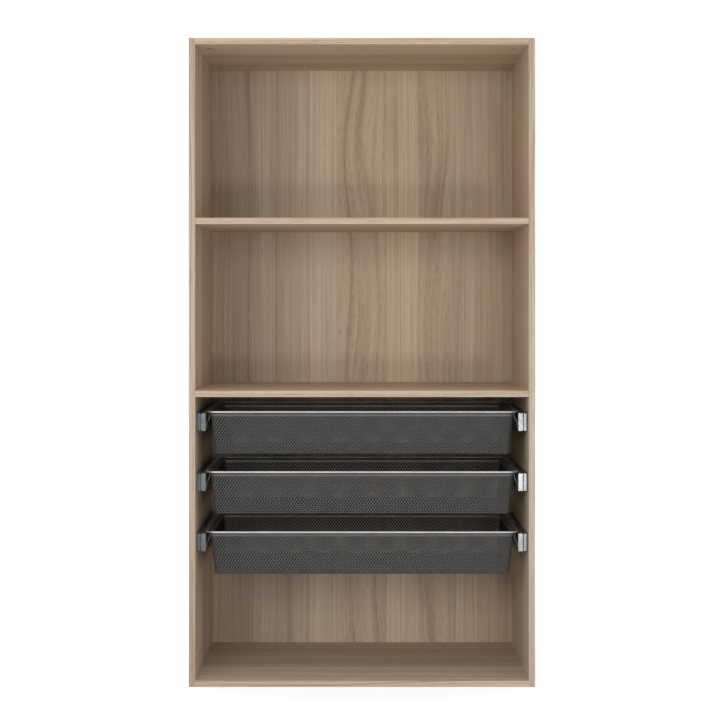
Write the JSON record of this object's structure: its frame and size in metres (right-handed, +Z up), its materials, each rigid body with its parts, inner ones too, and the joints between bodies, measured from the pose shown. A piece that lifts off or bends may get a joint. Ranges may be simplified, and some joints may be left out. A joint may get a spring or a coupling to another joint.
{
  "type": "wardrobe carcass",
  "caption": "Open wood-effect wardrobe carcass with shelves above pull-out mesh baskets that hang on telescopic ball runners.",
  "frame": {"origin": "on the floor, under the middle of the carcass's width and depth", "axes": "+X to the right as seen from the front, +Y to the back, +Z up; the open front faces -Y"},
  "size_m": [1, 0.58, 1.875],
  "materials": {
    "side_board": "matt light oak effect, grain upright",
    "level_board": "matt light oak effect, grain from side to side",
    "back_board": "matt light oak effect in planks, grain upright",
    "shelf_board": "matt light oak effect, grain from side to side",
    "edge_band": "lighter oak effect strip",
    "fitting_steel": "zinc plated",
    "cam_zinc": "dull cast zinc",
    "dowel_wood": "bare beech",
    "spacer_steel": "zinc plated",
    "rail_steel": "zinc plated",
    "cap_silver": "satin silver",
    "cage_steel": "thin plated strip",
    "ball_chrome": "polished",
    "rim_chrome": "bright satin",
    "hem_grey": "satin dark silver",
    "mesh_grey": "satin dark silver",
    "clip_steel": "zinc plated"
  },
  "bodies": {
    "carcass": {"side_panel_left": "side_board", "side_panel_right": "side_board", "top_panel": "level_board", "bottom_panel": "level_board", "back_panel": "back_board", "upper_shelf": "shelf_board", "lower_shelf": "shelf_board", "edge_bands": "edge_band", "shelf_pins": "fitting_steel", "cam_locks": "cam_zinc", "cam_bolts": "fitting_steel", "dowels": "dowel_wood", "runner_screws": "fitting_steel", "top_spacers": "spacer_steel", "top_cabinet_rails": "rail_steel", "middle_spacers": "spacer_steel", "middle_cabinet_rails": "rail_steel", "bottom_spacers": "spacer_steel", "bottom_cabinet_rails": "rail_steel"},
    "top_drawer": {"top_drawer_rail_left": "rail_steel", "top_drawer_rail_right": "rail_steel", "top_rail_caps": "cap_silver", "top_basket_rim": "rim_chrome", "top_basket_hem": "hem_grey", "top_basket_walls": "mesh_grey", "top_basket_base": "mesh_grey", "top_basket_clips": "clip_steel"},
    "top_middle_rails": {"top_middle_rails": "rail_steel"},
    "top_outer_cages": {"top_outer_ball_cages": "cage_steel", "top_outer_balls": "ball_chrome"},
    "top_inner_cages": {"top_inner_ball_cages": "cage_steel", "top_inner_balls": "ball_chrome"},
    "middle_drawer": {"middle_drawer_rail_left": "rail_steel", "middle_drawer_rail_right": "rail_steel", "middle_rail_caps": "cap_silver", "middle_basket_rim": "rim_chrome", "middle_basket_hem": "hem_grey", "middle_basket_walls": "mesh_grey", "middle_basket_base": "mesh_grey", "middle_basket_clips": "clip_steel"},
    "middle_middle_rails": {"middle_middle_rails": "rail_steel"},
    "middle_outer_cages": {"middle_outer_ball_cages": "cage_steel", "middle_outer_balls": "ball_chrome"},
    "middle_inner_cages": {"middle_inner_ball_cages": "cage_steel", "middle_inner_balls": "ball_chrome"},
    "bottom_drawer": {"bottom_drawer_rail_left": "rail_steel", "bottom_drawer_rail_right": "rail_steel", "bottom_rail_caps": "cap_silver", "bottom_basket_rim": "rim_chrome", "bottom_basket_hem": "hem_grey", "bottom_basket_walls": "mesh_grey", "bottom_basket_base": "mesh_grey", "bottom_basket_clips": "clip_steel"},
    "bottom_middle_rails": {"bottom_middle_rails": "rail_steel"},
    "bottom_outer_cages": {"bottom_outer_ball_cages": "cage_steel", "bottom_outer_balls": "ball_chrome"},
    "bottom_inner_cages": {"bottom_inner_ball_cages": "cage_steel", "bottom_inner_balls": "ball_chrome"}
  },
  "joints": [
    {"name": "top_drawer_slide", "type": "slide", "parent": "carcass", "child": "top_drawer", "axis": [0, -1, 0], "range_m": [0, 0.45]},
    {"name": "top_middle_slide", "type": "slide", "parent": "carcass", "child": "top_middle_rails", "axis": [0, -1, 0], "range_m": [0, 0.225]},
    {"name": "top_outer_cage_slide", "type": "slide", "parent": "carcass", "child": "top_outer_cages", "axis": [0, -1, 0], "range_m": [0, 0.1125]},
    {"name": "top_inner_cage_slide", "type": "slide", "parent": "carcass", "child": "top_inner_cages", "axis": [0, -1, 0], "range_m": [0, 0.3375]},
    {"name": "middle_drawer_slide", "type": "slide", "parent": "carcass", "child": "middle_drawer", "axis": [0, -1, 0], "range_m": [0, 0.45]},
    {"name": "middle_middle_slide", "type": "slide", "parent": "carcass", "child": "middle_middle_rails", "axis": [0, -1, 0], "range_m": [0, 0.225]},
    {"name": "middle_outer_cage_slide", "type": "slide", "parent": "carcass", "child": "middle_outer_cages", "axis": [0, -1, 0], "range_m": [0, 0.1125]},
    {"name": "middle_inner_cage_slide", "type": "slide", "parent": "carcass", "child": "middle_inner_cages", "axis": [0, -1, 0], "range_m": [0, 0.3375]},
    {"name": "bottom_drawer_slide", "type": "slide", "parent": "carcass", "child": "bottom_drawer", "axis": [0, -1, 0], "range_m": [0, 0.45]},
    {"name": "bottom_middle_slide", "type": "slide", "parent": "carcass", "child": "bottom_middle_rails", "axis": [0, -1, 0], "range_m": [0, 0.225]},
    {"name": "bottom_outer_cage_slide", "type": "slide", "parent": "carcass", "child": "bottom_outer_cages", "axis": [0, -1, 0], "range_m": [0, 0.1125]},
    {"name": "bottom_inner_cage_slide", "type": "slide", "parent": "carcass", "child": "bottom_inner_cages", "axis": [0, -1, 0], "range_m": [0, 0.3375]}
  ],
  "couplings": [
    {"joint": "top_middle_slide", "follows": "top_drawer_slide", "ratio": 0.5},
    {"joint": "top_outer_cage_slide", "follows": "top_drawer_slide", "ratio": 0.25},
    {"joint": "top_inner_cage_slide", "follows": "top_drawer_slide", "ratio": 0.75},
    {"joint": "middle_middle_slide", "follows": "middle_drawer_slide", "ratio": 0.5},
    {"joint": "middle_outer_cage_slide", "follows": "middle_drawer_slide", "ratio": 0.25},
    {"joint": "middle_inner_cage_slide", "follows": "middle_drawer_slide", "ratio": 0.75},
    {"joint": "bottom_middle_slide", "follows": "bottom_drawer_slide", "ratio": 0.5},
    {"joint": "bottom_outer_cage_slide", "follows": "bottom_drawer_slide", "ratio": 0.25},
    {"joint": "bottom_inner_cage_slide", "follows": "bottom_drawer_slide", "ratio": 0.75}
  ]
}
